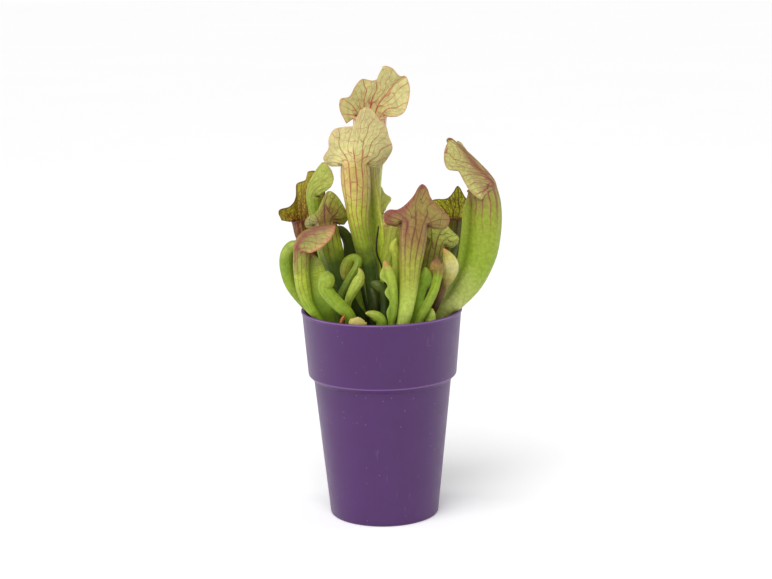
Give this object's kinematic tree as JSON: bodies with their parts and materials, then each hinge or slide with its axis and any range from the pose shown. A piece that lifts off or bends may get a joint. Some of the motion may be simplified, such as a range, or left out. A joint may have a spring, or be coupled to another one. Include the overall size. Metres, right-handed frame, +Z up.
{
  "type": "potted sarracenia",
  "caption": "Clump of trumpet pitcher leaves with veined lids and winged tubes, rising from peat in a tapered plastic plant pot with a straight collar.",
  "frame": {"origin": "centre of the pot's underside", "axes": "+Z up through the pot's axis, -Y towards the viewer of the picture, +X to that viewer's right"},
  "size_m": [0.124, 0.0979, 0.2501],
  "materials": {
    "pot": "satin",
    "peat": "matte",
    "rhizome": "matte",
    "green_leaf": "satin",
    "pale_leaf": "satin",
    "veined_leaf": "satin",
    "bronze_leaf": "satin",
    "dark_leaf": "satin",
    "cream_leaf": "satin",
    "dead_leaf": "matte"
  },
  "bodies": {
    "root": {"back_pitcher_1": "green_leaf", "back_pitcher_2": "pale_leaf", "back_pitcher_3": "bronze_leaf", "back_pitcher_4": "pale_leaf", "back_pitcher_5": "green_leaf", "back_pitcher_6": "bronze_leaf", "back_pitcher_7": "veined_leaf", "bronze_pitcher_front": "bronze_leaf", "brown_scrap": "dead_leaf", "bud_pitcher_front": "green_leaf", "bud_pitcher_right": "green_leaf", "cream_pitcher_right": "cream_leaf", "curled_pitcher_low": "green_leaf", "curled_pitcher_middle": "bronze_leaf", "curved_pitcher_left": "bronze_leaf", "cut_petiole": "cream_leaf", "dark_hook_behind": "dark_leaf", "dark_pitcher_left": "dark_leaf", "dark_pitcher_right": "dark_leaf", "dry_twig": "dead_leaf", "great_pitcher_right": "green_leaf", "green_hook_middle": "green_leaf", "green_pitcher_right": "veined_leaf", "green_pitcher_small": "green_leaf", "hooked_pitcher_left": "green_leaf", "knob_pitcher_front": "green_leaf", "maroon_pitcher_right": "bronze_leaf", "pale_pitcher_behind": "pale_leaf", "pale_pitcher_left": "green_leaf", "pot": "pot", "rhizome": "rhizome", "small_pitcher_middle": "bronze_leaf", "soil": "peat", "stalk_middle_left": "green_leaf", "stalk_middle_right": "green_leaf", "tall_pitcher_back": "pale_leaf", "tall_pitcher_front": "pale_leaf", "veined_pitcher_left": "veined_leaf", "wavy_pitcher_front": "green_leaf", "yellow_pitcher_middle": "pale_leaf", "young_back_pitcher_1": "green_leaf", "young_back_pitcher_2": "green_leaf", "young_back_pitcher_3": "bronze_leaf"}
  },
  "joints": []
}
